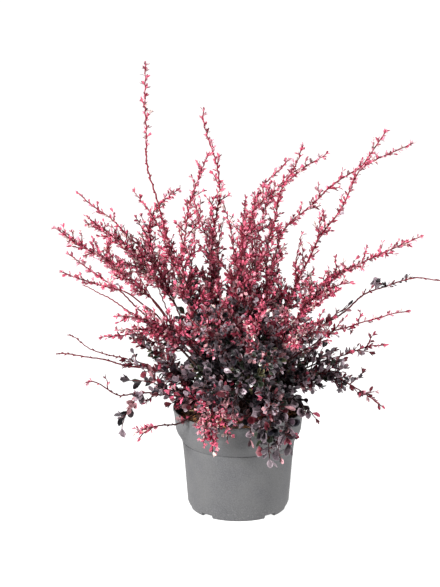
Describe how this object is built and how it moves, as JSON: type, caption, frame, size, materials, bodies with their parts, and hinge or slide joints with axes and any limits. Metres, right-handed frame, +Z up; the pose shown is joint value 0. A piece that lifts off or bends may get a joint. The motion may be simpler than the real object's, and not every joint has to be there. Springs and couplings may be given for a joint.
{
  "type": "potted japanese barberry shrub",
  "caption": "Japanese barberry shrub with slender arching rose and wine shoots above dark purple lower foliage, growing in a round grey nursery pot.",
  "frame": {"origin": "centre of the pot's flat underside, the mount pot_base", "axes": "+Z up the pot's axis to the tip of the tallest shoot, -Y towards the viewer of the picture, +X to the right in the picture"},
  "size_m": [0.6932, 0.5155, 0.7966],
  "materials": {
    "pot": "fine moulded texture, matt mid grey",
    "substrate": "moist peat and bark chips",
    "bark": "thin grooved dark red-brown bark",
    "foliage_rose": "young rose pink leaves with pale splashes",
    "foliage_wine": "wine red leaves with a soft sheen",
    "foliage_purple": "dark purple older leaves with a pale bloom"
  },
  "bodies": {
    "root": {"pot": "pot", "substrate": "substrate", "foot": "bark", "bough_tall": "bark", "bough_upright": "bark", "bough_crooked": "bark", "bough_forked": "bark", "bough_twin": "bark", "bough_high_right": "bark", "bough_right": "bark", "bough_high_left": "bark", "bough_left": "bark", "bough_back_right_top": "bark", "bough_back_left_top": "bark", "bough_middle": "bark", "bough_low_right": "bark", "bough_far_right": "bark", "bough_slim_right": "bark", "bough_front_right": "bark", "bough_front": "bark", "bough_front_left": "bark", "bough_side_left": "bark", "bough_low_left": "bark", "bough_slim_left": "bark", "bough_back_left": "bark", "bough_back_right": "bark", "tall": "foliage_rose", "upright": "foliage_rose", "crooked": "foliage_rose", "forked": "foliage_rose", "twin": "foliage_rose", "high_right": "foliage_rose", "right": "foliage_rose", "high_left": "foliage_rose", "left": "foliage_rose", "back_right_top": "foliage_wine", "back_left_top": "foliage_wine", "middle": "foliage_wine", "low_right": "foliage_rose", "far_right": "foliage_wine", "slim_right": "foliage_rose", "front_right": "foliage_wine", "front": "foliage_wine", "front_left": "foliage_wine", "side_left": "foliage_rose", "low_left": "foliage_rose", "slim_left": "foliage_wine", "back_left": "foliage_wine", "back_right": "foliage_wine", "skirt_right": "foliage_purple", "skirt_front_right": "foliage_purple", "skirt_over_right": "foliage_purple", "skirt_over_left": "foliage_purple", "skirt_front_left": "foliage_purple", "skirt_low_left": "foliage_purple", "skirt_left": "foliage_purple", "skirt_back_left": "foliage_purple", "skirt_back_right": "foliage_purple"}
  },
  "joints": []
}
